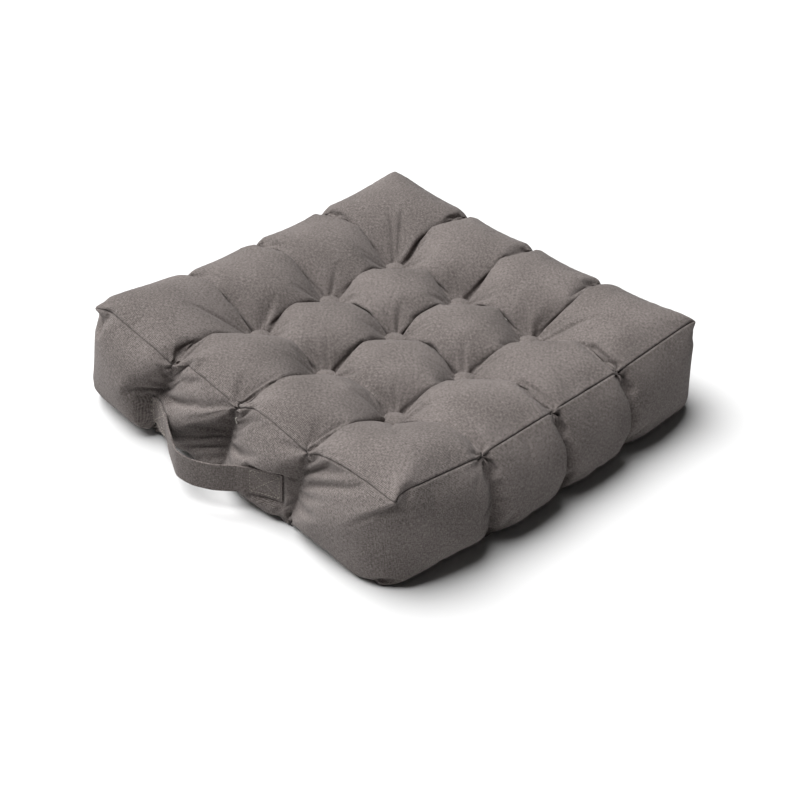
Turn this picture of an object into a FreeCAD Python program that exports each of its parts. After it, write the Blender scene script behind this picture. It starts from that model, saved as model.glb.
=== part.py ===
import FreeCAD, Part
import math
import os

# A tufted square floor cushion. Millimetres, +Z up. The origin is the centre of the base, on the
# surface the cushion rests on. The front side, with the carrying handle, faces -Y.

os.makedirs("parts", exist_ok=True)
V = FreeCAD.Vector

# Cover
SIDE = 500.0            # between the top seam's corners
SEAM_Z = 124.0          # height of the top seam at the corners
BASE_SEAM_HALF = 262.0  # the base seam stands out further, under the load of the filling
BASE_SEAM_Z = 5.0
BASE_FLAT_HALF = 236.0  # half width of the flat that rests on the floor
CLOTH = 1.0             # canvas thickness
CLEARANCE = 0.3         # room in the filling round the twines and eyes
SIDE_BULGE = 14.0       # how far the boxing band bows out over its height
CELL = 113.0            # tuft spacing; the outer cells are wider
VALLEY_Z = 104.0        # creases of the top between the cells
CROWN_INNER = 30.0      # rise of an inner cell above its creases
CROWN_OUTER = 21.0      # rise of an outer cell above the line from crease to seam
GROOVE_HALF = 242.0     # depth of the grooves in the sides, from the centre
GROOVE_PULL = -22.0     # the handle pulls the front side's grooves this far to the left
FRONT_CELL_BULGE = 29.0
SIDE_CELL_BULGE = 27.0
END_CELL_BULGE = 22.0
SEAM_SLOPE = 0.375      # the top seam moves in this much for each millimetre that it dips

# Tufting buttons
BUTTON_R = 14.0
BUTTON_RISE = 5.0       # height of the button's dome
SHELL = 0.6             # sheet metal of the button's shell
TOP_SEAT_Z = 85.0       # where the top buttons press the cover down to
BASE_SEAT_Z = 17.0      # where the base buttons press the cover up to
SEAT_R = 16.0
TOP_DIMPLE_R = 48.0
BASE_DIMPLE_R = 30.0
BACK_R = 11.0
BACK_T = 1.2
WIRE_R = 0.6
EYE_R = 3.0
RIM_GAP = 0.4           # from the seat to the rim of the button's cloth
TWINE_R = 0.9
EYELET_R = 5.0          # slit in the cover that the wire eye goes through

# Edge ties
TIE_TOP_Z = 100.0
TIE_BASE_Z = 8.0
TIE_IN = 238.0          # apex of the gather at the top seam, from the centre
TIE_LOOP_R = 4.5
TUFTED_HALF = 200.0     # the buttons and their dimples lie within this of the centre
GATHER_LENGTH = 26.0    # length of the cone-shaped gather
SEAM_THREAD = 0.9
SEAM_FOOT_Z = 60.0      # the lowest level at which the top seam's sloping wall is needed

# Carrying handle
STRAP_W = 36.0
STRAP_T = 2.4
STRAP_Z = 40.0          # mid height of the strap
LEFT_PATCH = (-144.0, -102.0)
RIGHT_PATCH = (42.0, 84.0)
STRAP_LINE = [          # the strap's inner face
    (-106.0, -266.5), (-78.0, -284.0), (-45.0, -300.0),
    (-10.0, -301.0), (18.0, -287.0), (46.0, -268.5)]
STRAP_BEND_R = 30.0
BEND_SHARE = 0.45         # most of a run that one bend may take up
LOOP_SPAN = (-62.0, 8.0)  # the stretch that swings clear of the side
LOOP_GAP = 0.4            # between the swinging loop and its fixed ends
STITCH_T = 0.4
STITCH_W = 1.0
STITCH_INSET = 4.0

HALF = SIDE / 2
BIG = 400.0
ROWS = {"front": -CELL, "middle": 0.0, "rear": CELL}
COLUMNS = {"left": -CELL, "centre": 0.0, "right": CELL}
BUTTON_POINTS = {f"{r}_{c}": (x, y) for r, y in ROWS.items() for c, x in COLUMNS.items()}


def save(name, shape):
    shape.exportStep(f"parts/{name}.step")
    print(f"{name:28s} {shape.ShapeType:9s} solids {len(shape.Solids)} "
          f"valid {shape.isValid()} cm3 {shape.Volume / 1000:.2f}")


def bowed_side(start, end, bulge, offset):
    """The curve of one side of an outline, bowed outwards by its bulge and moved outwards by offset."""
    along = end - start
    outward = V(along.y, -along.x, 0)
    outward.normalize()
    if bulge == 0:
        return Part.Line(start + outward * offset, end + outward * offset)
    radius = (along.Length ** 2 / 4 + bulge ** 2) / (2 * bulge)
    centre = (start + end) * 0.5 + outward * (bulge - radius)
    return Part.Circle(centre, V(0, 0, 1), radius + offset)


def outline(corners, bulges, offset):
    """A closed anticlockwise outline in XY of bowed sides, all moved outwards by offset."""
    points = [V(x, y, 0) for x, y in corners]
    count = len(points)
    sides = [bowed_side(points[i], points[(i + 1) % count], bulges[i], offset) for i in range(count)]
    joints = []
    for i in range(count):
        met = sides[i - 1].intersect(sides[i])
        joints.append(min((V(p.X, p.Y, p.Z) for p in met), key=lambda p: (p - points[i]).Length))
    edges = []
    for i, curve in enumerate(sides):
        start = joints[i]
        end = joints[(i + 1) % count]
        if bulges[i] == 0:
            edges.append(Part.makeLine(start, end))
            continue
        out = (start + end) * 0.5 - curve.Center
        out.normalize()
        edges.append(Part.Arc(start, curve.Center + out * curve.Radius, end).toShape())
    return Part.Face(Part.Wire(edges))


PLAN_CORNERS = (
    [(-HALF, -HALF)] + [(x + GROOVE_PULL, -GROOVE_HALF) for x in (-CELL, 0, CELL)]
    + [(HALF, -HALF)] + [(GROOVE_HALF, y) for y in (-CELL, 0, CELL)]
    + [(HALF, HALF)] + [(x, GROOVE_HALF) for x in (CELL, 0, -CELL)]
    + [(-HALF, HALF)] + [(-GROOVE_HALF, y) for y in (CELL, 0, -CELL)])
PLAN_BULGES = (
    [END_CELL_BULGE, FRONT_CELL_BULGE, FRONT_CELL_BULGE, END_CELL_BULGE]
    + [END_CELL_BULGE, SIDE_CELL_BULGE, SIDE_CELL_BULGE, END_CELL_BULGE] * 3)
SECTION_CORNERS = [
    (-BASE_FLAT_HALF, 0), (BASE_FLAT_HALF, 0), (BASE_SEAM_HALF, BASE_SEAM_Z), (HALF, SEAM_Z),
    (CELL, VALLEY_Z), (0, VALLEY_Z), (-CELL, VALLEY_Z), (-HALF, SEAM_Z), (-BASE_SEAM_HALF, BASE_SEAM_Z)]
SECTION_BULGES = [0, 0, SIDE_BULGE, CROWN_OUTER, CROWN_INNER, CROWN_INNER, CROWN_OUTER, SIDE_BULGE, 0]


def cone_up(x, y, z, small_r, large_r, height):
    return Part.makeCone(small_r, large_r, height, V(x, y, z), V(0, 0, 1))


def cone_down(x, y, z, small_r, large_r, height):
    return Part.makeCone(small_r, large_r, height, V(x, y, z), V(0, 0, -1))


def tie_points():
    """Side name, number, place and outward direction of each edge tie."""
    for number, step in enumerate((-CELL, 0, CELL), 1):
        yield f"front_{number}", V(step, -TIE_IN, 0), V(0, -1, 0)
        yield f"right_{number}", V(TIE_IN, step, 0), V(1, 0, 0)
        yield f"rear_{number}", V(-step, TIE_IN, 0), V(0, 1, 0)
        yield f"left_{number}", V(-TIE_IN, -step, 0), V(-1, 0, 0)


def plain_cushion(offset):
    """The cushion's body of bulging cells, with its skin moved outwards by offset."""
    plan = outline(PLAN_CORNERS, PLAN_BULGES, offset).extrude(V(0, 0, BIG))
    plan.translate(V(0, 0, -BIG / 2))
    section = outline(SECTION_CORNERS, SECTION_BULGES, offset)
    section.rotate(V(0, 0, 0), V(1, 0, 0), 90)
    across = section.extrude(V(0, 2 * BIG, 0))
    across.translate(V(0, -BIG, 0))
    along = across.copy()
    along.rotate(V(0, 0, 0), V(0, 0, 1), 90)
    return plan.common(across).common(along)


def cushion(offset):
    """The body, dimpled at the buttons and gathered at the edge ties."""
    cuts = []
    for x, y in BUTTON_POINTS.values():
        rise = CROWN_INNER + VALLEY_Z - TOP_SEAT_Z
        slope = (TOP_DIMPLE_R - SEAT_R) / rise
        seat_r = SEAT_R - offset * (math.sqrt(1 + slope ** 2) - slope)
        cuts.append(cone_up(x, y, TOP_SEAT_Z + offset, seat_r, seat_r + slope * BIG / 4, BIG / 4))
        slope = (BASE_DIMPLE_R - SEAT_R) / BASE_SEAT_Z
        seat_r = SEAT_R - offset * (math.sqrt(1 + slope ** 2) - slope)
        cuts.append(cone_down(x, y, BASE_SEAT_Z - offset, seat_r, seat_r + slope * BIG / 4, BIG / 4))
    for _, place, out in tie_points():
        axis = out + V(0, 0, 1)
        axis.normalize()
        apex = place + V(0, 0, TIE_TOP_Z) + axis * (offset * math.sqrt(2))
        cuts.append(Part.makeCone(0, 2 * GATHER_LENGTH, 2 * GATHER_LENGTH, apex, axis))
    return plain_cushion(offset).cut(cuts)


def seam_frustum(grow=0.0):
    """Everything inside and above the top seam, its faces moved outwards by grow."""
    low_half = HALF - SEAM_SLOPE * (SEAM_Z - SEAM_FOOT_Z) + grow
    high_half = low_half + SEAM_SLOPE * (BIG / 2)
    wires = [Part.makePolygon([V(sx * h, sy * h, z) for sx, sy in
                               ((-1, -1), (1, -1), (1, 1), (-1, 1), (-1, -1))])
             for h, z in ((low_half, SEAM_FOOT_Z), (high_half, SEAM_FOOT_Z + BIG / 2))]
    return Part.makeLoft(wires, True, True)


def slab_below(z):
    return Part.makeBox(2 * BIG, 2 * BIG, BIG, V(-BIG, -BIG, z - BIG))


def tufted_block(top_z):
    """The block that holds all the buttons' dimples, up to a height."""
    return Part.makeBox(2 * TUFTED_HALF, 2 * TUFTED_HALF, BIG + top_z, V(-TUFTED_HALF, -TUFTED_HALF, -BIG))


def half_space(sign):
    """Everything on one side of the upright plane through the left front and right rear corners."""
    box = Part.makeBox(4 * BIG, 2 * BIG, 2 * BIG, V(-2 * BIG, 0, -BIG))
    box.rotate(V(0, 0, 0), V(0, 0, 1), 45 if sign > 0 else 225)
    return box


outer = cushion(0.0)
inner = cushion(-CLOTH)
thread_line = cushion(-CLOTH - SEAM_THREAD)
top_side = seam_frustum()
base_side = slab_below(BASE_SEAM_Z).fuse(tufted_block(2 * BASE_SEAT_Z))


# Tufting: buttons, their shells, backs and wire eyes, and the twines between top and base

def dome(radius, rise, z, up):
    """A solid button dome on the plane z."""
    sphere_r = (radius ** 2 + rise ** 2) / (2 * rise)
    ball = Part.makeSphere(sphere_r, V(0, 0, z + up * (rise - sphere_r)))
    keep = Part.makeCylinder(radius + 1, rise + 1, V(0, 0, z), V(0, 0, up))
    return ball.common(keep)


def button(seat_z, up):
    """Cloth cover, metal shell, back plate and wire eye of one button, from its seat outwards."""
    back = Part.makeCylinder(BACK_R, BACK_T, V(0, 0, seat_z), V(0, 0, up))
    rim_z = seat_z + up * RIM_GAP
    whole = dome(BUTTON_R, BUTTON_RISE + CLOTH, rim_z, up)
    shell_out = dome(BUTTON_R - CLOTH, BUTTON_RISE, rim_z, up)
    shell_in = dome(BUTTON_R - CLOTH - SHELL, BUTTON_RISE - SHELL, rim_z, up)
    eye = Part.makeTorus(EYE_R, WIRE_R, V(0, 0, seat_z - up * EYE_R), V(0, 1, 0))
    eye = eye.cut(back)
    return whole.cut(shell_out), shell_out.cut(shell_in.cut(back)).cut(back), back, eye


def put(shape, x, y):
    placed = shape.copy()
    placed.translate(V(x, y, 0))
    return placed


def link(centre_z, gap_axis):
    return Part.makeTorus(EYE_R, TWINE_R, V(0, 0, centre_z), gap_axis)


top_button = button(TOP_SEAT_Z, 1)
base_button = button(BASE_SEAT_Z, -1)
LINK_DROP = 2 * EYE_R + EYE_R - WIRE_R - TWINE_R     # from the seat to the centre of the twine's loop
top_link_z = TOP_SEAT_Z - LINK_DROP
base_link_z = BASE_SEAT_Z + LINK_DROP
twine = Part.makeCylinder(TWINE_R, top_link_z - base_link_z - 2 * EYE_R, V(0, 0, base_link_z + EYE_R))
twine = twine.fuse([link(top_link_z, V(1, 0, 0)), link(base_link_z, V(1, 0, 0))])
shells = []
backs = []
eyes = []
for spot, (x, y) in BUTTON_POINTS.items():
    save(f"top_button_{spot}", put(top_button[0], x, y))
    save(f"base_button_{spot}", put(base_button[0], x, y))
    save(f"tufting_twine_{spot}", put(twine, x, y))
    for parts in (top_button, base_button):
        shells.append(put(parts[1], x, y))
        backs.append(put(parts[2], x, y))
        eyes.append(put(parts[3], x, y))
save("button_shells", Part.makeCompound(shells))
save("button_backs", Part.makeCompound(backs))
save("button_eyes", Part.makeCompound(eyes))


# Edge ties: a loop of twine round the top seam, another round the base seam, and a run between them

ties = []
for name, place, out in tie_points():
    across = V(out.y, -out.x, 0)
    top = place + V(0, 0, TIE_TOP_Z)
    base = place + V(0, 0, TIE_BASE_Z)
    run_foot = base + V(0, 0, TIE_LOOP_R)
    run = Part.makeCylinder(TWINE_R, top.z - TIE_LOOP_R - run_foot.z, run_foot)
    loops = [Part.makeTorus(TIE_LOOP_R, TWINE_R, p, across) for p in (top, base)]
    tie = run.fuse(loops)
    ties.append((tie, top, base))
    save(f"edge_tie_{name}", tie)


# Cover, seam threads and filling

slits = [Part.makeCylinder(EYELET_R, BIG, V(x, y, -BIG / 4)) for x, y in BUTTON_POINTS.values()]
cover = outer.cut(inner).cut(slits).cut([tie for tie, _, _ in ties])
band = cover.cut(top_side).cut(base_side)
save("top_panel", cover.common(top_side))
save("base_panel", cover.common(base_side))
save("band_front", band.common(half_space(-1)))
save("band_rear", band.common(half_space(1)))

lining = inner.cut(thread_line).cut(tufted_block(BIG))
top_thread = lining.common(seam_frustum(SEAM_THREAD / 2)).cut(seam_frustum(-SEAM_THREAD / 2))
base_thread = lining.common(slab_below(BASE_SEAM_Z + SEAM_THREAD / 2)).cut(
    slab_below(BASE_SEAM_Z - SEAM_THREAD / 2))
join_plate = Part.makeBox(4 * BIG, SEAM_THREAD, 2 * BIG, V(-2 * BIG, -SEAM_THREAD / 2, -BIG))
join_plate.rotate(V(0, 0, 0), V(0, 0, 1), 45)
join_threads = lining.common(join_plate).cut(seam_frustum(2 * SEAM_THREAD)).cut(
    slab_below(BASE_SEAM_Z + 2 * SEAM_THREAD))
tie_shapes = [tie for tie, _, _ in ties]
save("top_seam_thread", max(top_thread.cut(tie_shapes).Solids, key=lambda solid: solid.Volume))
save("base_seam_thread", base_thread.cut(tie_shapes))
save("band_join_threads", join_threads)

CHANNEL_R = EYE_R + TWINE_R + CLEARANCE
channels = [Part.makeCylinder(CHANNEL_R, BIG, V(x, y, -BIG / 4)) for x, y in BUTTON_POINTS.values()]
for tie, top, base in ties:
    channels.append(Part.makeCylinder(TWINE_R + CLEARANCE, top.z - base.z, base))
    channels += [Part.makeSphere(TIE_LOOP_R + TWINE_R + CLEARANCE, p) for p in (top, base)]
save("fibre_fill", inner.cut(channels + [top_thread, base_thread, join_threads]))


# Carrying handle: two ends stitched flat to the band, and a free loop that swings between them

def patch_block(x_range, inset=0.0):
    x0, x1 = x_range
    return Part.makeBox(x1 - x0 - 2 * inset, BIG, STRAP_W - 2 * inset,
                        V(x0 + inset, -BIG, STRAP_Z - STRAP_W / 2 + inset))


def rounded_path(points, radius):
    """Straight runs through the points, joined by tangent arcs."""
    corners = [V(x, y, STRAP_Z - STRAP_W / 2) for x, y in points]
    edges = []
    last = corners[0]
    for before, corner, after in zip(corners, corners[1:], corners[2:]):
        back = (before - corner).normalize()
        ahead = (after - corner).normalize()
        half_angle = back.getAngle(ahead) / 2
        reach = min(radius / math.tan(half_angle), BEND_SHARE * (before - corner).Length,
                    BEND_SHARE * (after - corner).Length)
        bend_r = reach * math.tan(half_angle)
        start = corner + back * reach
        end = corner + ahead * reach
        middle = corner + (back + ahead).normalize() * (bend_r / math.sin(half_angle) - bend_r)
        edges += [Part.makeLine(last, start), Part.Arc(start, middle, end).toShape()]
        last = end
    edges.append(Part.makeLine(last, corners[-1]))
    return Part.Wire(edges)


def box_stitch(x_range):
    """A rectangle of stitching with a cross in it, as bars that run through the strap's end."""
    frame = patch_block(x_range, STITCH_INSET).cut(patch_block(x_range, STITCH_INSET + STITCH_W))
    x0, x1 = x_range
    wide = x1 - x0 - 2 * STITCH_INSET - STITCH_W
    high = STRAP_W - 2 * STITCH_INSET - STITCH_W
    length = math.hypot(wide, high)
    middle = V((x0 + x1) / 2, 0, STRAP_Z)
    bars = []
    for sign in (1, -1):
        bar = Part.makeBox(length, BIG, STITCH_W, middle + V(-length / 2, -BIG, -STITCH_W / 2))
        bar.rotate(middle, V(0, 1, 0), sign * math.degrees(math.atan2(high, wide)))
        bars.append(bar)
    return frame.fuse(bars)


strap_face = rounded_path(STRAP_LINE, STRAP_BEND_R).makeOffset2D(STRAP_T, 0, True, True, False)
strap = strap_face.extrude(V(0, 0, STRAP_W))
body = plain_cushion(0.0)
strap_surface = plain_cushion(STRAP_T)
stitch_surface = plain_cushion(STRAP_T + STITCH_T)


def strap_between(x0, x1):
    return strap.common(Part.makeBox(x1 - x0, BIG, BIG, V(x0, -BIG, -BIG / 2)))


def sewn_end(x_range, lead):
    """The stitched patch and its lead towards the loop, and the stitching on it."""
    block = patch_block(x_range)
    patch = strap_surface.common(block).cut(body)
    stitch = stitch_surface.common(box_stitch(x_range)).cut(strap_surface)
    return patch.fuse(lead.cut(body)).removeSplitter(), stitch.cut(lead)


save("handle_loop", strap_between(*LOOP_SPAN))
left_end, left_stitch = sewn_end(LEFT_PATCH, strap_between(STRAP_LINE[0][0], LOOP_SPAN[0] - LOOP_GAP))
right_end, right_stitch = sewn_end(RIGHT_PATCH, strap_between(LOOP_SPAN[1] + LOOP_GAP, STRAP_LINE[-1][0]))
save("handle_end_left", left_end)
save("handle_end_right", right_end)
save("box_stitch_left", left_stitch)
save("box_stitch_right", right_stitch)
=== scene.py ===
import math

import bpy
import numpy as np
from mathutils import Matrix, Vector
from mathutils.bvhtree import BVHTree


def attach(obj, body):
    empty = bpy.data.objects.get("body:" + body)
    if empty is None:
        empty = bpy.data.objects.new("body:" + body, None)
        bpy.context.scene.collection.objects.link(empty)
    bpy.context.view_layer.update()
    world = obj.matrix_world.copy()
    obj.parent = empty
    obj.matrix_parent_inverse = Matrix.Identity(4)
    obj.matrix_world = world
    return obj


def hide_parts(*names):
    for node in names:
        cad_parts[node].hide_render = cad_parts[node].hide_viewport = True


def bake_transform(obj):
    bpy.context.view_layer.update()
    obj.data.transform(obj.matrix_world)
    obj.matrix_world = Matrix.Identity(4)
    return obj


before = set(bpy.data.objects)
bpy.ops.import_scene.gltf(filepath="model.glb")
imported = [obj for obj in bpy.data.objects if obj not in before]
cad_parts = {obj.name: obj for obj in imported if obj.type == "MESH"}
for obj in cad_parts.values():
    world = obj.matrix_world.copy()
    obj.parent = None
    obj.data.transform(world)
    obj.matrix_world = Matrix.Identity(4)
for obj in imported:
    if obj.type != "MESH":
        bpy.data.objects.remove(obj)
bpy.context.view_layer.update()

MM = 0.001
scene = bpy.context.scene


# Camera, floor and light.
# A long lens looks down at the cushion's front right corner. The floor and the room are pale. A wide
# soft box hangs above and to the left, and a reflector at the left fills the front side.
bpy.ops.object.camera_add(location=(1.1807, -1.2181, 1.2159))
camera = bpy.context.object
camera.name = "camera"
camera.rotation_euler = [math.radians(a) for a in (54.351, -1.438, 44.858)]
camera.data.lens = 77.16      # millimetres, on a sensor 36 wide
camera.data.sensor_width = 36.0
scene.camera = camera
scene.view_settings.view_transform = "Standard"


def linear(hex_colour):
    """A hex colour as the linear RGBA that a shader takes."""
    parts = [int(hex_colour[i:i + 2], 16) / 255 for i in (1, 3, 5)]
    return [p / 12.92 if p <= 0.04045 else ((p + 0.055) / 1.055) ** 2.4 for p in parts] + [1.0]


def deselect():
    if bpy.context.mode != "OBJECT":
        bpy.ops.object.mode_set(mode="OBJECT")
    bpy.ops.object.select_all(action="DESELECT")


def only(piece):
    """Makes one object the selected and active one."""
    deselect()
    piece.select_set(True)
    bpy.context.view_layer.objects.active = piece


def new_material(name, colour, roughness):
    material = bpy.data.materials.new(name)
    material.use_nodes = True
    shader = material.node_tree.nodes["Principled BSDF"]
    shader.inputs["Base Color"].default_value = linear(colour)
    shader.inputs["Roughness"].default_value = roughness
    return material, shader


deselect()
bpy.ops.mesh.primitive_plane_add(size=14.0)
floor = bpy.context.object
floor.name = "studio_floor"
floor_paint, floor_shader = new_material("matt_white_board", "#D6D6D6", 0.9)
floor_shader.inputs["Specular IOR Level"].default_value = 0.2
floor.data.materials.append(floor_paint)

bpy.ops.object.light_add(type="SUN", location=(-1.35, -0.65, 3.3))
softbox = bpy.context.object
softbox.name = "overhead_softbox"
softbox.data.energy = 5.95
softbox.data.angle = math.radians(54)
bpy.ops.object.light_add(type="AREA", location=(-2.6, -1.6, 0.9))
reflector = bpy.context.object
reflector.name = "left_reflector"
reflector.data.size = 1.4
reflector.data.energy = 14.0
for lamp in (softbox, reflector):
    lamp.rotation_euler = (-lamp.location).to_track_quat("-Z", "Y").to_euler()
scene.world = bpy.data.worlds.new("white_room")
scene.world.use_nodes = True
room = scene.world.node_tree.nodes["Background"]
room.inputs["Color"].default_value = linear("#FFFFFF")
seen = scene.world.node_tree.nodes.new("ShaderNodeLightPath")
glow = scene.world.node_tree.nodes.new("ShaderNodeMapRange")      # the room looks white but lights little
glow.inputs["To Min"].default_value = 0.035
glow.inputs["To Max"].default_value = 1.0
scene.world.node_tree.links.new(seen.outputs["Is Camera Ray"], glow.inputs["Value"])
scene.world.node_tree.links.new(glow.outputs["Result"], room.inputs["Strength"])


# The casing, as one bag of cloth.
# Two square panels and a boxing band are cut flat, joined and stuffed. The cloth is tied down at nine
# buttons on each face and at three places on each edge, which makes the cells and side grooves.
TUFT = 113.0                  # distance between tufts, in millimetres
HALF = 250.0                  # from the centre to the top seam's corners
SEAM_Z = 124.0
INNER_QUADS = 30              # mesh squares across an inner and an outer cell, and down the band
OUTER_QUADS = 36
BAND_QUADS = 30
INNER_CUT = 137.0             # width of cloth that each cell takes up
OUTER_CUT = 152.0
BAND_CUT = (139.0, 133.0, 127.0)      # depth of the band along the front, at the first tie and further back
QUADS = 2 * (INNER_QUADS + OUTER_QUADS)
UNDER_BUTTON = 3.0            # how wide a square is where a button or a tie gathers the cloth
UNDER_TIE = 1.6
BUTTON_TOP_SEAT = 84.6
BUTTON_BASE_SEAT = 17.4
TIE_TOP = (244.0, 109.0)      # distance from the centre and height of the edge ties
TIE_BASE = (252.0, 7.0)
GROOVE_BOW = (-6.0, 12.0)     # how far the front's and the other sides' grooves bow out at mid height
PULL = (-32.0, -24.0, -20.0)  # the handle drags the foot of the front's grooves this far to the left
TIED_FRAME = 11               # the ties are drawn tight by this frame, and the cloth swells until the last
LAST_FRAME = 22
TIE_COLUMNS = (OUTER_QUADS, OUTER_QUADS + INNER_QUADS, OUTER_QUADS + 2 * INNER_QUADS)
COLUMN_STOPS = (0, *TIE_COLUMNS, QUADS)
PLAN_STOPS = (-HALF, -TUFT, 0.0, TUFT, HALF)
CUT_STOPS = (-OUTER_CUT - INNER_CUT, -INNER_CUT, 0.0, INNER_CUT, OUTER_CUT + INNER_CUT)


def sew_flat_box():
    """A closed box of small squares: two grids bridged by a band."""
    deselect()
    bpy.ops.mesh.primitive_grid_add(x_subdivisions=QUADS, y_subdivisions=QUADS, size=2 * HALF * MM,
                                    location=(0, 0, SEAM_Z * MM))
    bag = bpy.context.object
    bpy.ops.object.transform_apply(location=True)
    bpy.ops.object.mode_set(mode="EDIT")
    bpy.ops.mesh.select_all(action="SELECT")
    bpy.ops.mesh.duplicate()
    bpy.ops.transform.translate(value=(0, 0, -SEAM_Z * MM))
    bpy.ops.mesh.select_mode(type="EDGE")
    bpy.ops.mesh.select_all(action="DESELECT")
    bpy.ops.mesh.select_non_manifold(extend=False, use_boundary=True, use_wire=False,
                                     use_multi_face=False, use_non_contiguous=False, use_verts=False)
    bpy.ops.mesh.bridge_edge_loops(number_cuts=BAND_QUADS - 1)
    bpy.ops.mesh.select_mode(type="VERT")
    bpy.ops.mesh.select_all(action="SELECT")
    bpy.ops.mesh.normals_make_consistent(inside=False)
    bpy.ops.object.mode_set(mode="OBJECT")
    return bag


def points_of(mesh):
    flat = np.empty(len(mesh.vertices) * 3)
    mesh.vertices.foreach_get("co", flat)
    return flat.reshape(-1, 3)


def set_points(mesh, points):
    mesh.vertices.foreach_set("co", np.asarray(points, float).ravel())
    mesh.update()


def tied_places(column, row, drop):
    """Where the cloth is held, in millimetres, and which points are held.

    The buttons and the edge ties hold it. So that the outline comes out right, its corners, its feet and
    the grooves down its sides are held as well.
    """
    count = len(column)
    place = np.zeros((count, 3))
    held = np.zeros(count, bool)
    top = drop == 0
    base = drop == BAND_QUADS
    for c, x in zip(TIE_COLUMNS, PLAN_STOPS[1:4]):
        for r, y in zip(TIE_COLUMNS, PLAN_STOPS[1:4]):
            under_button = np.hypot(column - c, row - r) <= 3.6
            for face, z in ((top, BUTTON_TOP_SEAT), (base, BUTTON_BASE_SEAT)):
                spot = under_button & face
                place[spot] = np.c_[x + (column[spot] - c) * UNDER_BUTTON, y + (row[spot] - r) * UNDER_BUTTON,
                                    np.full(spot.sum(), z)]
                held |= spot
    for along, across, swap in ((column, row, False), (row, column, True)):
        for c, at, drag in zip(TIE_COLUMNS, PLAN_STOPS[1:4], PULL):
            for end, sign in ((0, -1), (QUADS, 1)):
                front = not swap and sign < 0
                for level, (out, z), step in ((0, TIE_TOP, 1), (BAND_QUADS, TIE_BASE, -1)):
                    down = step * (drop - level)
                    inward = np.abs(across - end)
                    spot = (np.abs(along - c) <= 2) & (down + inward <= 1) & (down >= 0)
                    pulled = drag if front and level else 0.0
                    side = at + pulled + (along[spot] - c) * UNDER_TIE
                    depth = sign * (out - UNDER_TIE * inward[spot])
                    height = z - step * UNDER_TIE * down[spot]
                    place[spot] = np.c_[depth, side, height] if swap else np.c_[side, depth, height]
                    held |= spot
                groove = (across == end) & (along == c) & (drop > 1) & (drop < BAND_QUADS - 1)
                t = drop[groove] / BAND_QUADS
                side = at + (drag if front else 0.0) * t ** 0.7
                bow = GROOVE_BOW[0] if front else GROOVE_BOW[1]
                depth = sign * (TIE_TOP[0] + (TIE_BASE[0] - TIE_TOP[0]) * t + bow * np.sin(np.pi * t))
                height = TIE_TOP[1] + (TIE_BASE[1] - TIE_TOP[1]) * t
                place[groove] = np.c_[depth, side, height] if swap else np.c_[side, depth, height]
                held |= groove
    corners = {(0, 0): (-HALF, -HALF, SEAM_Z), (QUADS, 0): (HALF, -HALF, SEAM_Z),
               (0, QUADS): (-HALF, HALF, SEAM_Z), (QUADS, QUADS): (HALF, HALF, SEAM_Z)}
    feet = {(0, 0): (-250.0, -250.0, 6.0), (QUADS, 0): (230.0, -252.0, 3.0),
            (0, QUADS): (-256.0, 256.0, 4.0), (QUADS, QUADS): (249.0, 251.0, 8.0)}
    for face, spots in ((top, corners), (base, feet)):
        for (c, r), xyz in spots.items():
            spot = face & (column == c) & (row == r)
            place[spot] = xyz
            held |= spot
    return place, held


def stuff(bag, column, row, drop):
    """Ties the flat bag down and swells it by cloth simulation, resting on the floor."""
    mesh = bag.data
    depth = np.interp(row, (0, OUTER_QUADS, QUADS), BAND_CUT)
    cut = np.c_[np.interp(column, COLUMN_STOPS, CUT_STOPS), np.interp(row, COLUMN_STOPS, CUT_STOPS),
                4.0 + depth * (1 - drop / BAND_QUADS)]
    place, held = tied_places(column, row, drop)
    set_points(mesh, cut * MM)
    bag.shape_key_add(name="cut")
    tied = bag.shape_key_add(name="tied")
    tied.data.foreach_set("co", (np.where(held[:, None], place, cut) * MM).ravel())
    for value, at in ((0.0, 1), (1.0, TIED_FRAME)):
        tied.value = value
        tied.keyframe_insert("value", frame=at)
    seam = ((drop == 0) | (drop == BAND_QUADS)) & (
        (column == 0) | (column == QUADS) | (row == 0) | (row == QUADS))
    for group, members in (("held", held), ("seam", seam)):
        bag.vertex_groups.new(name=group).add(np.nonzero(members)[0].tolist(), 1.0, "REPLACE")
    deselect()
    bpy.ops.mesh.primitive_plane_add(size=2.0)
    rest = bpy.context.object
    rest.modifiers.new("rest", "COLLISION")
    rest.collision.thickness_outer = 0.001
    only(bag)
    cloth = bag.modifiers.new("cloth", "CLOTH")
    s = cloth.settings
    s.quality = 5
    s.mass = 0.1
    s.tension_stiffness = 550
    s.compression_stiffness = 110
    s.shear_stiffness = 50
    s.bending_stiffness = 20
    s.tension_damping = s.compression_damping = s.shear_damping = 5
    s.use_pressure = True
    s.uniform_pressure_force = 1200
    s.effector_weights.gravity = 0
    s.vertex_group_mass = "held"
    s.vertex_group_shrink = "seam"
    s.shrink_min = 0.0
    s.shrink_max = 0.03
    cloth.collision_settings.use_self_collision = False
    cloth.collision_settings.distance_min = 0.001
    cloth.point_cache.frame_end = LAST_FRAME
    for at in range(1, LAST_FRAME + 1):
        scene.frame_set(at)
    settled = bag.evaluated_get(bpy.context.evaluated_depsgraph_get())
    swollen = points_of(settled.data)
    bag.modifiers.remove(cloth)
    action = mesh.shape_keys.animation_data.action
    bag.shape_key_clear()
    bpy.data.actions.remove(action)
    bpy.data.objects.remove(rest)
    bag.vertex_groups.clear()
    scene.frame_set(1)
    set_points(mesh, swollen)


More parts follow.
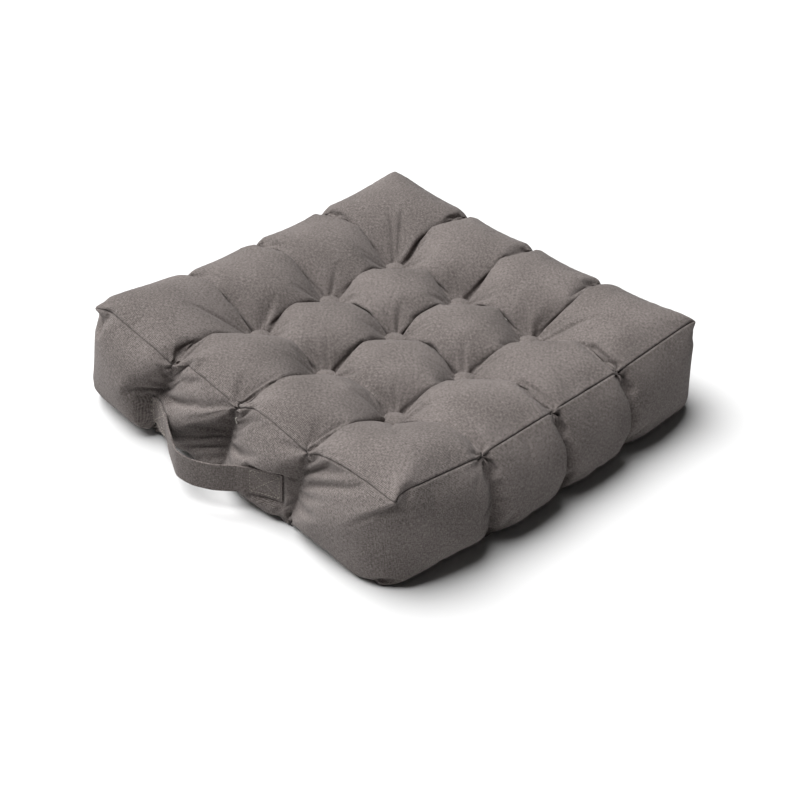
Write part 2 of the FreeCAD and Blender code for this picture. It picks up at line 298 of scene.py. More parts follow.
casing = sew_flat_box()
casing.name = "casing"
start = points_of(casing.data)
column = np.rint((start[:, 0] / (2 * HALF * MM) + 0.5) * QUADS)
row = np.rint((start[:, 1] / (2 * HALF * MM) + 0.5) * QUADS)
drop = np.rint((1 - start[:, 2] / (SEAM_Z * MM)) * BAND_QUADS)
stuff(casing, column, row, drop)
for layer, values in (("column", column), ("row", row), ("drop", drop)):
    casing.data.attributes.new(layer, "FLOAT", "POINT").data.foreach_set("value", values)
only(casing)
finer = casing.modifiers.new("finer", "SUBSURF")
finer.levels = finer.render_levels = 1
bpy.ops.object.modifier_apply(modifier=finer.name)
fine = casing.data


def read_layer(name):
    values = np.empty(len(fine.vertices), np.float32)
    fine.attributes[name].data.foreach_get("value", values)
    return np.rint(values * 2).astype(int)      # in half squares, the spacing of the finer mesh


column, row, drop = (read_layer(name) for name in ("column", "row", "drop"))
WIDE = 2 * QUADS
DEEP = 2 * BAND_QUADS
on_top = drop == 0
on_base = drop == DEEP
girth = np.select([row == 0, column == WIDE, row == WIDE], [column, WIDE + row, 3 * WIDE - column],
                  4 * WIDE - row) % (4 * WIDE)      # how far round the band a point is
on_band = (row == 0) | (column == WIDE) | (row == WIDE) | (column == 0)
panel_index = np.full((2, WIDE + 1, WIDE + 1), -1)
panel_index[0, column[on_top], row[on_top]] = np.nonzero(on_top)[0]
panel_index[1, column[on_base], row[on_base]] = np.nonzero(on_base)[0]
band_index = np.full((4 * WIDE, DEEP + 1), -1)
band_index[girth[on_band], drop[on_band]] = np.nonzero(on_band)[0]
to_seam = np.minimum(np.minimum(column, WIDE - column), np.minimum(row, WIDE - row))
points = points_of(fine) / MM
normals = np.empty(len(fine.vertices) * 3)
fine.vertices.foreach_get("normal", normals)
normals = normals.reshape(-1, 3)

# The seams: the edges of the two layers roll over into a narrow groove with a ridge on each side.
SEAM_SINK = 1.3
SEAM_RIDGE = 0.55
seam_of = np.full(len(points), -1)
for face, members in ((0, on_top), (1, on_base)):
    near = np.nonzero(members & (to_seam <= 3))[0]
    c, r = column[near], row[near]
    sides = np.stack([c, WIDE - c, r, WIDE - r]).argmin(axis=0)
    seam_of[near] = panel_index[face, np.select([sides == 0, sides == 1], [0, WIDE], c),
                                np.select([sides == 2, sides == 3], [0, WIDE], r)]
for level, step in ((0, 1), (DEEP, -1)):
    near = np.nonzero(on_band & (np.abs(drop - level) <= 3) & (np.abs(drop - level) > 0))[0]
    seam_of[near] = band_index[girth[near], level]
from_seam = np.where(on_band & ~(on_top | on_base), np.minimum(drop, DEEP - drop), to_seam)
seam_line = points.copy()
for away, draw, lift in ((1, 0.45, SEAM_RIDGE), (2, 0.2, SEAM_RIDGE * 0.8), (3, 0.08, SEAM_RIDGE * 0.3)):
    ring = np.nonzero((seam_of >= 0) & (from_seam == away))[0]
    points[ring] += (seam_line[seam_of[ring]] - seam_line[ring]) * draw + normals[ring] * lift
on_seam = np.nonzero(from_seam == 0)[0]
points[on_seam] -= normals[on_seam] * SEAM_SINK

# The creases: between the cells the cloth turns in sharply, deepest beside the buttons and ties.
# Short folds fan out from each button and each tie, and the tie draws the seam in to a pit. They are
# finer than the simulated cloth can fold, so they are moved in here.
CLOTH_STEP = 2.2              # millimetres of cloth between two points of the finer mesh
CREASE_DEPTH = 4.2
CREASE_WIDTH = 3.0
FAN_DEPTH = 1.0
GATHER_DEPTH = 3.6
PIT_DEPTH = 2.2
fold_rng = np.random.default_rng(7)
knots = [2 * stop for stop in TIE_COLUMNS]


def fan(reach, angle, folds, phase, start, spread):
    """Folds that fan out round a knot, strongest at a distance of start."""
    waves = np.cos(folds * angle + phase + 0.8 * np.sin(2 * angle + phase))
    return waves * np.exp(-((reach - start) / spread) ** 2)


sink = np.zeros(len(points))
for face in (on_top, on_base):
    for along, across in ((column, row), (row, column)):
        for knot in knots:
            aside = np.abs(along - knot) * CLOTH_STEP
            near_knot = np.min([np.abs(across - stop) for stop in (0, *knots, WIDE)], axis=0) * CLOTH_STEP
            depth = CREASE_DEPTH * (0.45 + 0.55 * np.exp(-(near_knot / 26) ** 2))
            lips = 0.35 * depth * np.exp(-((aside - 2.6 * CREASE_WIDTH) / (1.6 * CREASE_WIDTH)) ** 2)
            sink[face] += (depth * np.exp(-(aside / CREASE_WIDTH) ** 2) - lips)[face]
    for knot_c in knots:
        for knot_r in knots:
            u = (column - knot_c) * CLOTH_STEP
            v = (row - knot_r) * CLOTH_STEP
            folds = fan(np.hypot(u, v), np.arctan2(v, u), 11, fold_rng.uniform(0, 6.28), 21.0, 9.0)
            sink[face] += (FAN_DEPTH * folds)[face]
for face, level in ((on_top, 0), (on_base, DEEP)):
    for side in range(4):
        for knot in knots:
            spot = band_index[side * WIDE + knot, level]
            along, across = (column, row) if side % 2 == 0 else (row, column)
            u = (along - along[spot]) * CLOTH_STEP
            inward = np.abs(across - across[spot]) * CLOTH_STEP
            down = np.abs(drop - level) * CLOTH_STEP
            v = np.where(face, inward, -down)
            own = face | (on_band & (across == across[spot]))
            reach = np.hypot(u, v)
            folds = fan(reach, np.arctan2(v, u), 7, fold_rng.uniform(0, 6.28), 9.0, 7.5)
            sink[own] += (GATHER_DEPTH * folds + PIT_DEPTH * np.exp(-(reach / 6.0) ** 2))[own]
points -= normals * sink[:, None]

# The handle's route along the front side. Where its ends are sewn down, the cloth is pressed flat
# against them, so the strap's inner face is worked out here, before the cloth is parted.
STRAP_W = 36.0
STRAP_T = 2.2
STRAP_LOW = 21.5              # height of the strap's lower edge
LEFT_END = (-141.0, -101.0)   # the sewn ends, along the side
RIGHT_END = (41.0, 82.0)
ROUTE = [(-150, -249), (-144, -251), (-122, -259), (-100, -267), (-78, -281), (-58, -292), (-38, -303),
         (-25, -303), (-12, -301.5), (10, -292), (28, -277), (42, -264), (58, -255), (86, -247)]
STRAP_STEP = 1.5


def lift(x):
    """The strap climbs a little towards its right end."""
    return 8.0 * np.clip((np.asarray(x) + 100) / 180, 0, 1)


def ease(t):
    t = np.clip(t, 0, 1)
    return t * t * (3 - 2 * t)


def blurred(grid, times):
    for _ in range(times):
        for axis in (0, 1):
            wide = np.concatenate([grid.take([0], axis), grid, grid.take([-1], axis)], axis)
            size = grid.shape[axis]
            grid = (wide.take(range(size), axis) + 2 * grid + wide.take(range(2, size + 2), axis)) / 4
    return grid


bag_tree = BVHTree.FromPolygons([Vector(p) for p in points], [tuple(q.vertices) for q in fine.polygons])
strap_x = np.arange(LEFT_END[0], RIGHT_END[1] + STRAP_STEP / 2, STRAP_STEP)
strap_z = np.linspace(STRAP_LOW, STRAP_LOW + STRAP_W, 19)
inwards = Vector((0, 1, 0))
face_y = np.array([[bag_tree.ray_cast(Vector((x, -2 * HALF, z + lift(x))), inwards)[0].y for z in strap_z]
                   for x in strap_x])
route_y = blurred(np.interp(strap_x, *zip(*ROUTE))[:, None], 12)
free = ease((strap_x - LEFT_END[1] + 3) / 16) * ease((RIGHT_END[0] + 3 - strap_x) / 16)
resting = 0.35 * blurred(face_y, 24) + 0.65 * route_y
strap_y = resting * (1 - free[:, None]) + np.minimum(route_y, blurred(face_y, 6) - 1.2) * free[:, None]
strap_y = blurred(strap_y, 2)


def on_strap(x, z):
    """The y of the strap's inner face at a place along and up the side."""
    i = np.clip((np.asarray(x) - strap_x[0]) / STRAP_STEP, 0, len(strap_x) - 1.001)
    j = np.clip((np.asarray(z) - lift(x) - strap_z[0]) / (strap_z[1] - strap_z[0]), 0, len(strap_z) - 1.001)
    a, b = i.astype(int), j.astype(int)
    i, j = i - a, j - b
    return ((strap_y[a, b] * (1 - i) + strap_y[a + 1, b] * i) * (1 - j)
            + (strap_y[a, b + 1] * (1 - i) + strap_y[a + 1, b + 1] * i) * j)


for left, right in (LEFT_END, RIGHT_END):
    x, y, z = points.T
    z = z - lift(x)
    beside = np.hypot(np.maximum(np.maximum(left - x, x - right), 0),
                      np.maximum(np.maximum(strap_z[0] - z, z - strap_z[-1]), 0))
    pressed = ease(1 - (beside - 1) / 8) * ((row == 0) & (drop > 0))
    points[:, 1] += (on_strap(x, z + lift(x)) + 0.25 - y) * pressed
set_points(fine, points * MM)

# The cloth's own coordinates, in metres of cloth, so that the weave runs with the thread.
loops = np.empty(len(fine.loops), np.int64)
fine.loops.foreach_get("vertex_index", loops)
quads = loops.reshape(-1, 4)
is_top = (drop[quads] == 0).all(axis=1)
is_base = (drop[quads] == DEEP).all(axis=1)
is_band = ~is_top & ~is_base
cut_x = np.interp(column / 2, COLUMN_STOPS, CUT_STOPS) * MM
cut_y = np.interp(row / 2, COLUMN_STOPS, CUT_STOPS) * MM
cut_z = drop / 2 * np.interp(row / 2, (0, OUTER_QUADS, QUADS), BAND_CUT) / BAND_QUADS * MM
runs_x = (row[quads] == 0).all(axis=1) | (row[quads] == WIDE).all(axis=1)
uv = np.empty((len(quads), 4, 2))
uv[..., 0] = np.where((is_band & ~runs_x)[:, None], cut_y[quads], cut_x[quads])
uv[..., 1] = np.where(is_band[:, None], cut_z[quads], cut_y[quads])
fine.uv_layers.new(name="cloth").data.foreach_set("uv", uv.ravel())
fine.polygons.foreach_set("use_smooth", np.ones(len(quads), bool))


def cut_out(name, keep):
    """A panel of the casing as a piece of its own."""
    piece = casing.copy()
    piece.data = casing.data.copy()
    piece.name = piece.data.name = name
    scene.collection.objects.link(piece)
    only(piece)
    scene.tool_settings.mesh_select_mode = (False, False, True)
    piece.data.vertices.foreach_set("select", np.zeros(len(piece.data.vertices), bool))
    piece.data.edges.foreach_set("select", np.zeros(len(piece.data.edges), bool))
    piece.data.polygons.foreach_set("select", ~keep)
    bpy.ops.object.mode_set(mode="EDIT")
    bpy.ops.mesh.delete(type="FACE")
    bpy.ops.object.mode_set(mode="OBJECT")
    for layer in ("column", "row", "drop"):
        piece.data.attributes.remove(piece.data.attributes[layer])
    return piece


# Cotton canvas, yarn-dyed taupe: a plain weave of slightly uneven yarns. It gives a soft matt face
# with fine flecks. Real yarns are 0.5 mm apart; they are drawn about three times as coarse to show.
YARN = 1.5                    # millimetres
WAVE_SCALE = 0.31416          # of a wave texture whose bands are one unit apart


def add_node(tree, kind, values=(), **settings):
    """One node, with its settings and its inputs: plain values, or (node, output) to link."""
    node = tree.nodes.new(kind)
    for key, value in settings.items():
        setattr(node, key, value)
    for socket, value in dict(values).items():
        if isinstance(value, tuple) and len(value) == 2 and hasattr(value[0], "outputs"):
            tree.links.new(value[0].outputs[value[1]], node.inputs[socket])
        else:
            node.inputs[socket].default_value = value
    return node


def woven_canvas(name, dark, light, yarn=YARN):
    material, shader = new_material(name, light, 0.93)
    tree = material.node_tree
    shader.inputs["Specular IOR Level"].default_value = 0.25
    shader.inputs["Sheen Weight"].default_value = 0.05
    shader.inputs["Sheen Roughness"].default_value = 0.6
    spot = add_node(tree, "ShaderNodeUVMap", uv_map="cloth")
    in_mm = add_node(tree, "ShaderNodeVectorMath", {0: (spot, "UV"), 1: (1 / MM, 1 / MM, 1 / MM)},
                     operation="MULTIPLY")
    wobble = add_node(tree, "ShaderNodeTexNoise", {"Vector": (in_mm, "Vector"), "Scale": 0.12, "Detail": 2.0})
    shifted = add_node(tree, "ShaderNodeVectorMath", {0: (wobble, "Color"), 1: (1.2, 1.2, 0.0),
                                                      2: (in_mm, "Vector")}, operation="MULTIPLY_ADD")
    yarns = []
    for direction in ("X", "Y"):
        yarns.append(add_node(tree, "ShaderNodeTexWave",
                              {"Vector": (shifted, "Vector"), "Scale": WAVE_SCALE / yarn, "Distortion": 1.0,
                               "Detail": 1.0, "Detail Scale": 0.6},
                              wave_type="BANDS", bands_direction=direction, wave_profile="SIN"))
    weave = add_node(tree, "ShaderNodeMath", {0: (yarns[0], "Fac"), 1: (yarns[1], "Fac")},
                     operation="MULTIPLY")
    slubs = []
    for stretch in ((0.75, 0.22, 1.0), (0.22, 0.75, 1.0)):
        long = add_node(tree, "ShaderNodeVectorMath", {0: (in_mm, "Vector"), 1: stretch},
                        operation="MULTIPLY")
        slubs.append(add_node(tree, "ShaderNodeTexNoise", {"Vector": (long, "Vector"), "Scale": 1.15,
                                                           "Detail": 3.0, "Roughness": 0.6}))
    slub = add_node(tree, "ShaderNodeMath", {0: (slubs[0], "Fac"), 1: (slubs[1], "Fac")},
                    operation="MULTIPLY")
    fleck = add_node(tree, "ShaderNodeMath", {0: (weave, "Value"), 1: 0.22, 2: (slub, "Value")},
                     operation="MULTIPLY_ADD")
    worn = add_node(tree, "ShaderNodeTexNoise", {"Vector": (in_mm, "Vector"), "Scale": 0.014, "Detail": 3.0})
    tone = add_node(tree, "ShaderNodeMath", {0: (worn, "Fac"), 1: 0.2, 2: (fleck, "Value")},
                    operation="MULTIPLY_ADD")
    ramp = add_node(tree, "ShaderNodeValToRGB", {"Fac": (tone, "Value")})
    ramp.color_ramp.elements[0].position = 0.3
    ramp.color_ramp.elements[0].color = linear(dark)
    ramp.color_ramp.elements[1].position = 0.54
    ramp.color_ramp.elements[1].color = linear(light)
    tree.links.new(ramp.outputs["Color"], shader.inputs["Base Color"])
    bump = add_node(tree, "ShaderNodeBump", {"Height": (fleck, "Value"), "Strength": 1.0,
                                             "Distance": 1.1 * MM})
    tree.links.new(bump.outputs["Normal"], shader.inputs["Normal"])
    return material


casing_canvas = woven_canvas("taupe_cotton_canvas", "#4B4542", "#857D7A")
rear_left = (girth[quads] >= 2 * WIDE).any(axis=1) & is_band & ~(girth[quads] == 0).any(axis=1)
rear_left |= is_band & (girth[quads] >= 4 * WIDE - 2).any(axis=1)
panels = {}
for name, keep in (("top_cover_panel", is_top), ("base_cover_panel", is_base),
                   ("boxing_band_front", is_band & ~rear_left), ("boxing_band_rear", rear_left)):
    panels[name] = cut_out(name, keep)
    panels[name].data.materials.append(casing_canvas)
    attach(panels[name], "root")
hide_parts("top_panel")
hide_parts("base_panel")
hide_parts("band_front")
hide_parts("band_rear")


# The filling: loose polyester fibre wadding that fills the cover. It is fluffy, matt and off-white,
# and shows only when the cover is opened.
WADDING_GAP = 4.0
WADDING_CLEAR = 2.0
wadding, wadding_shader = new_material("white_fibre_wadding", "#E9E7E0", 0.95)
fibres = add_node(wadding.node_tree, "ShaderNodeTexCoord")
fibres = add_node(wadding.node_tree, "ShaderNodeTexNoise",
                  {"Vector": (fibres, "Object"), "Scale": 1 / (4 * MM), "Detail": 5.0, "Distortion": 1.5})
fluff = add_node(wadding.node_tree, "ShaderNodeBump", {"Height": (fibres, "Fac"), "Strength": 0.7,
                                                       "Distance": 1.0 * MM})
wadding.node_tree.links.new(fluff.outputs["Normal"], wadding_shader.inputs["Normal"])
casing_tree = BVHTree.FromPolygons([Vector(p) for p in points], [tuple(q) for q in quads.tolist()])
filling = casing
filling.name = filling.data.name = "fibre_filling"
set_points(fine, (points - normals * WADDING_GAP) * MM)
only(filling)
loosen = filling.modifiers.new("loosen", "SMOOTH")
loosen.factor = 0.5
loosen.iterations = 12
bpy.ops.object.modifier_apply(modifier=loosen.name)
coarser = filling.modifiers.new("coarser", "DECIMATE")
coarser.decimate_type = "UNSUBDIV"
coarser.iterations = 2
bpy.ops.object.modifier_apply(modifier=coarser.name)
packed = points_of(fine) / MM
FAR = 600.0
for i, (x, y, z) in enumerate(packed):
    across_x = abs(x) > abs(y)
    to_side = Vector((math.copysign(1.0, x), 0, 0) if across_x else (0, math.copysign(1.0, y), 0))
    for outward in (Vector((0, 0, 1)), Vector((0, 0, -1)), to_side):
        p = Vector(packed[i])
        skin = casing_tree.ray_cast(p + outward * FAR, -outward)[0]
        if skin is None:
            continue
        deep = (skin - p).dot(outward)
        if deep < WADDING_CLEAR:
            packed[i] = p + outward * (deep - WADDING_CLEAR)
set_points(fine, packed * MM)
for layer in ("column", "row", "drop"):
    fine.attributes.remove(fine.attributes[layer])
fine.materials.append(wadding)
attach(filling, "root")
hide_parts("fibre_fill")


# The tufting buttons: steel shells covered in the same canvas, nine on each face.
# The cloth is drawn over the dome and tucked under the rim. A twine pulls each one into the cushion.
BUTTON_R = 14.0
BUTTON_EDGE = 3.0             # height of the rim
BUTTON_DOME = 7.0             # height of the whole button above its seat
BUTTON_PROUD = 0.5            # how far its cover clears the steel shell
button_canvas = woven_canvas("button_cotton_canvas", "#4B4542", "#857D7A", yarn=1.2)
deselect()
bpy.ops.mesh.primitive_cylinder_add(vertices=40, radius=BUTTON_R * MM, depth=BUTTON_EDGE * MM,
                                    end_fill_type="NGON", location=(0, 0, BUTTON_EDGE / 2 * MM))
pattern = bpy.context.object
bpy.ops.object.transform_apply(location=True)
bpy.ops.object.mode_set(mode="EDIT")
bpy.ops.mesh.select_mode(type="FACE")
bpy.ops.mesh.select_all(action="DESELECT")
bpy.ops.object.mode_set(mode="OBJECT")
for face in pattern.data.polygons:
    face.select = face.normal.z > 0.9
bpy.ops.object.mode_set(mode="EDIT")
for inset, rise in ((2.2, 1.5), (3.2, 1.0), (3.8, 0.6), (3.2, 0.3)):
    bpy.ops.mesh.inset(thickness=inset * MM)
    bpy.ops.transform.translate(value=(0, 0, rise * MM))
bpy.ops.mesh.select_all(action="DESELECT")
bpy.ops.object.mode_set(mode="OBJECT")
for face in pattern.data.polygons:
    face.select = face.normal.z < -0.9
bpy.ops.object.mode_set(mode="EDIT")
bpy.ops.mesh.inset(thickness=1.8 * MM)
bpy.ops.transform.translate(value=(0, 0, -0.8 * MM))
bpy.ops.object.mode_set(mode="OBJECT")
only(pattern)
round_off = pattern.modifiers.new("round_off", "SUBSURF")
round_off.levels = round_off.render_levels = 2
bpy.ops.object.modifier_apply(modifier=round_off.name)
pattern.data.polygons.foreach_set("use_smooth", np.ones(len(pattern.data.polygons), bool))
pattern_points = points_of(pattern.data) / MM
pattern_points[:, 2] *= BUTTON_DOME / pattern_points[:, 2].max()


def map_from_above(mesh, flat):
    """Cloth coordinates for a small piece, from its points' own plan, in metres."""
    corner = np.empty(len(mesh.loops), np.int64)
    mesh.loops.foreach_get("vertex_index", corner)
    mesh.uv_layers.new(name="cloth").data.foreach_set("uv", (flat[corner] * MM).ravel())


button_rng = np.random.default_rng(3)
for face_name, up, seat in (("top", 1.0, BUTTON_TOP_SEAT), ("base", -1.0, BUTTON_BASE_SEAT)):
    for row_name, y in (("front", -TUFT), ("middle", 0.0), ("rear", TUFT)):
        for column_name, x in (("left", -TUFT), ("centre", 0.0), ("right", TUFT)):
            button = pattern.copy()
            button.data = pattern.data.copy()
            button.name = button.data.name = f"{face_name}_covered_button_{row_name}_{column_name}"
            scene.collection.objects.link(button)
            turn = button_rng.uniform(0, 2 * math.pi)
            tilt_x, tilt_y = button_rng.uniform(-0.06, 0.06, 2)
            p = pattern_points.copy()
            p[:, 2] += p[:, 0] * tilt_x + p[:, 1] * tilt_y
            spun = np.c_[p[:, 0] * math.cos(turn) - p[:, 1] * math.sin(turn),
                         (p[:, 0] * math.sin(turn) + p[:, 1] * math.cos(turn)) * up, p[:, 2] * up]
            set_points(button.data, (spun + (x, y, seat + up * BUTTON_PROUD)) * MM)
            map_from_above(button.data, pattern_points[:, :2])
            button.data.materials.append(button_canvas)
            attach(button, "root")
            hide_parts(f"{face_name}_button_{row_name}_{column_name}")
bpy.data.objects.remove(pattern)


# Inside the cushion: the twines from button to button, and each button's steel shell, back plate
# and wire eye. The steel is zinc plated, pale grey and half bright. The twine is waxed polyester.
zinc, zinc_shader = new_material("zinc_plated_steel", "#B9BBBD", 0.38)
zinc_shader.inputs["Metallic"].default_value = 1.0
spangle = add_node(zinc.node_tree, "ShaderNodeTexCoord")
spangle = add_node(zinc.node_tree, "ShaderNodeTexVoronoi",
                   {"Vector": (spangle, "Object"), "Scale": 1 / (1.5 * MM)})
spangle = add_node(zinc.node_tree, "ShaderNodeMapRange", {"Value": (spangle, "Distance"), 3: 0.3, 4: 0.45})
zinc.node_tree.links.new(spangle.outputs["Result"], zinc_shader.inputs["Roughness"])
TWIST = 1.4                   # millimetres between the plies of the twine


def twisted_thread(name, dark, light, twist):
    """Twisted polyester thread: fine slanting bands, with a soft silky gloss."""
    material, shader = new_material(name, light, 0.55)
    tree = material.node_tree
    spot = add_node(tree, "ShaderNodeTexCoord")
    plies = add_node(tree, "ShaderNodeTexWave",
                     {"Vector": (spot, "Object"), "Scale": WAVE_SCALE / (twist * MM), "Distortion": 2.0},
                     bands_direction="DIAGONAL")
    ramp = add_node(tree, "ShaderNodeValToRGB", {"Fac": (plies, "Fac")})
    ramp.color_ramp.elements[0].color = linear(dark)
    ramp.color_ramp.elements[1].color = linear(light)
    tree.links.new(ramp.outputs["Color"], shader.inputs["Base Color"])
    bump = add_node(tree, "ShaderNodeBump", {"Height": (plies, "Fac"), "Strength": 0.4,
                                             "Distance": 0.2 * MM})
    tree.links.new(bump.outputs["Normal"], shader.inputs["Normal"])
    return material


waxed_twine = twisted_thread("waxed_polyester_twine", "#6B6660", "#A7A199", TWIST)
for node_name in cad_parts:
    if node_name.startswith("tufting_twine") or node_name in ("button_shells", "button_backs", "button_eyes"):
        inner_piece = bpy.data.objects[node_name]
        finish = waxed_twine if node_name.startswith("tufting_twine") else zinc
        for place in inner_piece.material_slots:
            place.material = finish


# The edge ties: waxed twine sewn over the seam in two or three short stitches and pulled down to the
# base seam, so that both seams gather. Some keep a loose tail.
TWINE_R = 0.9
STITCH_SPAN = 4.2             # from the seam to where a stitch dives into the cloth


def tube(name, lines, radius, sides=1, cyclic=False):
    """Round threads along smooth lines of points, as one mesh."""
    curve = bpy.data.curves.new(name, "CURVE")
    curve.dimensions = "3D"
    curve.bevel_depth = radius * MM
    curve.bevel_resolution = sides
    curve.resolution_u = 4
    curve.use_fill_caps = not cyclic
    for line in lines:
        spline = curve.splines.new("NURBS")
        spline.points.add(len(line) - 1)
        spline.points.foreach_set("co", np.c_[np.asarray(line) * MM, np.ones(len(line))].ravel())
        spline.order_u = 3
        spline.use_endpoint_u = not cyclic
        spline.use_cyclic_u = cyclic
    drawn = bpy.data.objects.new(name, curve)
    scene.collection.objects.link(drawn)
    only(drawn)
    bpy.ops.object.convert(target="MESH")
    drawn.data.polygons.foreach_set("use_smooth", np.ones(len(drawn.data.polygons), bool))
    return drawn


tie_twine = twisted_thread("grey_waxed_twine", "#8A857E", "#C6C1B8", 0.9)
SIDE_NAMES = ("front", "right", "rear", "left")
TAILS = ((1, 0), (0, 1), (2, 1), (3, 2))      # the side and place of each tie with a loose tail
tail_rng = np.random.default_rng(11)
for side in range(4):
    for place, stop in enumerate(TIE_COLUMNS):
        top_spot = band_index[side * WIDE + 2 * stop, 0]
        base_spot = band_index[side * WIDE + 2 * stop, DEEP]
        lines = []
        for level, spot, inner in ((0, top_spot, -1), (DEEP, base_spot, 1)):
            seam_dir = points[band_index[side * WIDE + 2 * stop + 2, level]] - points[
                band_index[side * WIDE + 2 * stop - 2, level]]
            seam_dir = seam_dir / np.linalg.norm(seam_dir)
            out = normals[spot]
            over = np.cross(seam_dir, out)
            over *= math.copysign(1.0, -inner * over[2])
            over /= np.linalg.norm(over)
            for shift in ((-1.3, 0.2, 1.5) if level == 0 else (-0.8, 0.8)):
                centre = points[spot] + seam_dir * shift
                lean = seam_dir * tail_rng.uniform(-0.9, 0.9)
                lines.append([centre + over * STITCH_SPAN - out * 3.5 + lean,
                              centre + over * STITCH_SPAN + out * 0.2 + lean,
                              centre + over * 2.0 + out * 2.6 + lean * 0.4,
                              centre - over * 1.6 + out * 2.7 - lean * 0.4,
                              centre - over * STITCH_SPAN + out * 0.2 - lean,
                              centre - over * STITCH_SPAN - out * 3.5 - lean])
            if level == 0:
                top_in = points[spot] - out * 5
            else:
                base_in = points[spot] - out * 5
        lines.append([top_in, top_in * 0.66 + base_in * 0.34, top_in * 0.34 + base_in * 0.66, base_in])
        if (side, place) in TAILS:
            start = points[top_spot] + normals[top_spot] * 1.2
            sway = tail_rng.uniform(-0.5, 0.5) * seam_dir
            tail = [start]
            for fall in (3.0, 6.0, 9.0, 12.0, 15.0):
                skin, outward, _, _ = casing_tree.find_nearest(Vector(start + sway * fall - (0, 0, fall)))
                tail.append(skin + outward * 1.3 * TWINE_R)
            lines.append(tail)
        tie = tube(f"edge_tie_twine_{SIDE_NAMES[side]}_{place + 1}", lines, TWINE_R)
        tie.data.materials.append(tie_twine)
        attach(tie, "root")
        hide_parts(f"edge_tie_{SIDE_NAMES[side]}_{place + 1}")


# The seam threads: lockstitch just inside the top seam, the base seam and the band's two joins.
SEAM_THREAD_R = 0.4
seam_thread = twisted_thread("taupe_sewing_thread", "#4E4843", "#7C746C", 0.8)
for name, level, node_name in (("top_seam_stitching", 0, "top_seam_thread"),
                               ("base_seam_stitching", DEEP, "base_seam_thread")):
    around = band_index[::2, level]
    stitching = tube(name, [points[around] - normals[around] * 0.35], SEAM_THREAD_R, cyclic=True)
    stitching.data.materials.append(seam_thread)
    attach(stitching, "root")
    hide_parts(node_name)
down = [band_index[corner, 3:-3] for corner in (0, 2 * WIDE)]
stitching = tube("band_join_stitching", [points[line] - normals[line] * 0.9 for line in down], SEAM_THREAD_R)
stitching.data.materials.append(seam_thread)
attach(stitching, "root")
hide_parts("band_join_threads")


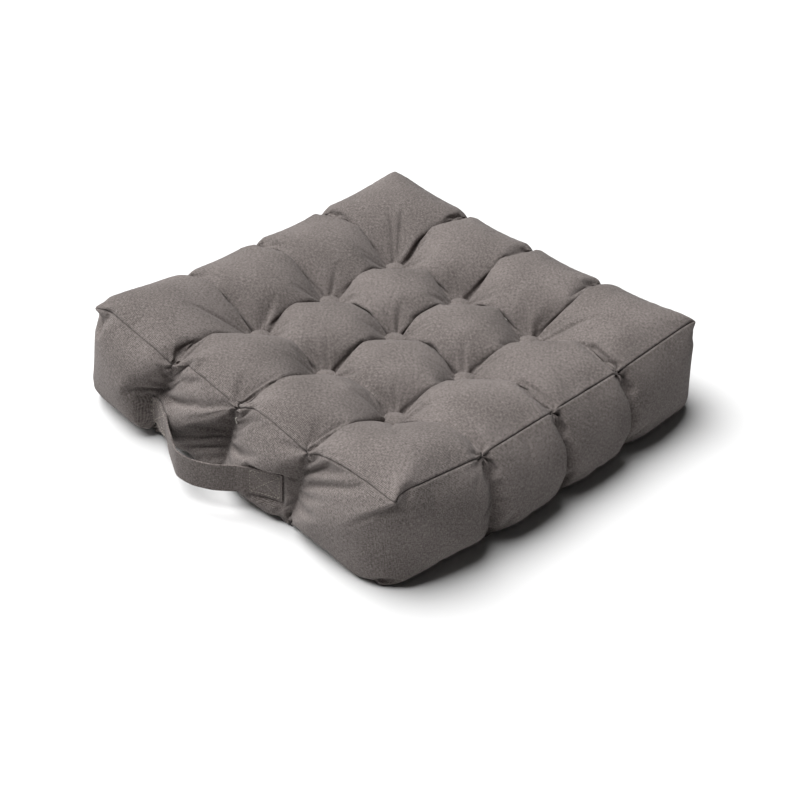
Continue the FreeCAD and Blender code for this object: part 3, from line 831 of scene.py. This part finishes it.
# The carrying handle: a strap of the cover's canvas, folded double and sewn flat to the band at both
# ends with a box and a cross of stitching. The free stretch bows out and stands on edge.
# It is made in two lengths that meet at its middle.
# The strap's copy of the cover's canvas is drawn darker than the cover's: painted shade for the strap's
# upright face.
painted_shade_strap_cloth = woven_canvas("strap_cloth_with_painted_shade", "#47413E", "#7D7572", yarn=1.5)
STRAP_MIDDLE = -24.0
BEND_TO = (-62.0, 8.0)        # where the bend from each sewn end is over
for name, start_x, end_x, still, moving, nodes in (
        ("carrying_strap_left", LEFT_END[0], STRAP_MIDDLE, LEFT_END[1], BEND_TO[0],
         ("handle_end_left", "handle_loop")),
        ("carrying_strap_right", STRAP_MIDDLE, RIGHT_END[1], RIGHT_END[0], BEND_TO[1],
         ("handle_end_right",))):
    steps = int(round((end_x - start_x) / STRAP_STEP))
    deselect()
    bpy.ops.mesh.primitive_grid_add(x_subdivisions=steps, y_subdivisions=18, size=1.0)
    strap = bpy.context.object
    strap.name = strap.data.name = name
    flat = points_of(strap.data)
    along = start_x + (flat[:, 0] + 0.5) * (end_x - start_x)
    up = STRAP_LOW + (flat[:, 1] + 0.5) * STRAP_W + lift(along)
    lines_x = start_x + np.arange(steps + 1) * (end_x - start_x) / steps
    lines_y = on_strap(lines_x, lift(lines_x) + STRAP_LOW + STRAP_W / 2)
    walked = np.r_[0, np.cumsum(np.hypot(np.diff(lines_x), np.diff(lines_y)))]
    map_from_above(strap.data, np.c_[np.interp(along, lines_x, walked) + start_x, up])
    set_points(strap.data, np.c_[along, on_strap(along, up), up] * MM)
    only(strap)
    double = strap.modifiers.new("double", "SOLIDIFY")
    double.thickness = STRAP_T * MM
    double.offset = 1.0
    bpy.ops.object.modifier_apply(modifier=double.name)
    bpy.ops.object.mode_set(mode="EDIT")
    bpy.ops.mesh.select_mode(type="EDGE")
    bpy.ops.mesh.select_all(action="DESELECT")
    bpy.ops.mesh.edges_select_sharp(sharpness=math.radians(60))
    bpy.ops.object.mode_set(mode="OBJECT")
    for edge in strap.data.edges:
        if all(abs(strap.data.vertices[v].co.x / MM - STRAP_MIDDLE) < 0.7 for v in edge.vertices):
            edge.select = False
    bpy.ops.object.mode_set(mode="EDIT")
    bpy.ops.mesh.bevel(offset=0.75 * MM, segments=3, affect="EDGES")
    bpy.ops.object.mode_set(mode="OBJECT")
    bpy.ops.object.shade_smooth_by_angle(angle=math.radians(50))
    strap.data.materials.append(painted_shade_strap_cloth)
    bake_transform(strap)
    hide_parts(*nodes)

# The stitching of the two sewn ends, in paler thread: short stitches that dimple the strap.
STITCH = 2.6
GAP = 1.1
INSET = 3.6
strap_thread = twisted_thread("pale_sewing_thread", "#7A736B", "#AFA79D", 0.8)
for name, (left, right), node_name in (("left_box_stitch", LEFT_END, "box_stitch_left"),
                                       ("right_box_stitch", RIGHT_END, "box_stitch_right")):
    x0, x1 = left + INSET, right - INSET
    z0, z1 = STRAP_LOW + INSET, STRAP_LOW + STRAP_W - INSET
    stitches = []
    for a, b in (((x0, z0), (x1, z0)), ((x1, z0), (x1, z1)), ((x1, z1), (x0, z1)), ((x0, z1), (x0, z0)),
                 ((x0, z0), (x1, z1)), ((x0, z1), (x1, z0))):
        a, b = np.array(a), np.array(b)
        count = int(np.linalg.norm(b - a) // (STITCH + GAP))
        for i in range(count):
            ends = [a + (b - a) * t / count for t in (i + 0.12, i + 0.3, i + 0.7, i + 0.88)]
            stitches.append([(x, on_strap(x, z + lift(x)) - STRAP_T + sunk, z + lift(x))
                             for (x, z), sunk in zip(ends, (0.6, -0.42, -0.42, 0.6))])
    stitching = tube(name, stitches, 0.36)
    stitching.data.materials.append(strap_thread)
    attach(stitching, "root")
    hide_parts(node_name)

# The left end's cut edge has frayed: single yarns stick out of it.
fray_rng = np.random.default_rng(5)
yarns = []
for _ in range(26):
    z = fray_rng.uniform(STRAP_LOW + 1, STRAP_LOW + STRAP_W - 1)
    reach = fray_rng.uniform(1.5, 5.0)
    y = on_strap(LEFT_END[0], z) - fray_rng.uniform(0.4, 1.8)
    yarns.append([(LEFT_END[0] + 2, y, z), (LEFT_END[0] - reach * 0.5, y - fray_rng.uniform(-0.2, 0.6), z),
                  (LEFT_END[0] - reach, y - fray_rng.uniform(-0.1, 1.2), z + fray_rng.uniform(-1.5, 1.5))])
frayed = tube("frayed_strap_yarns", yarns, 0.22)
frayed.data.materials.append(strap_thread)
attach(frayed, "root")
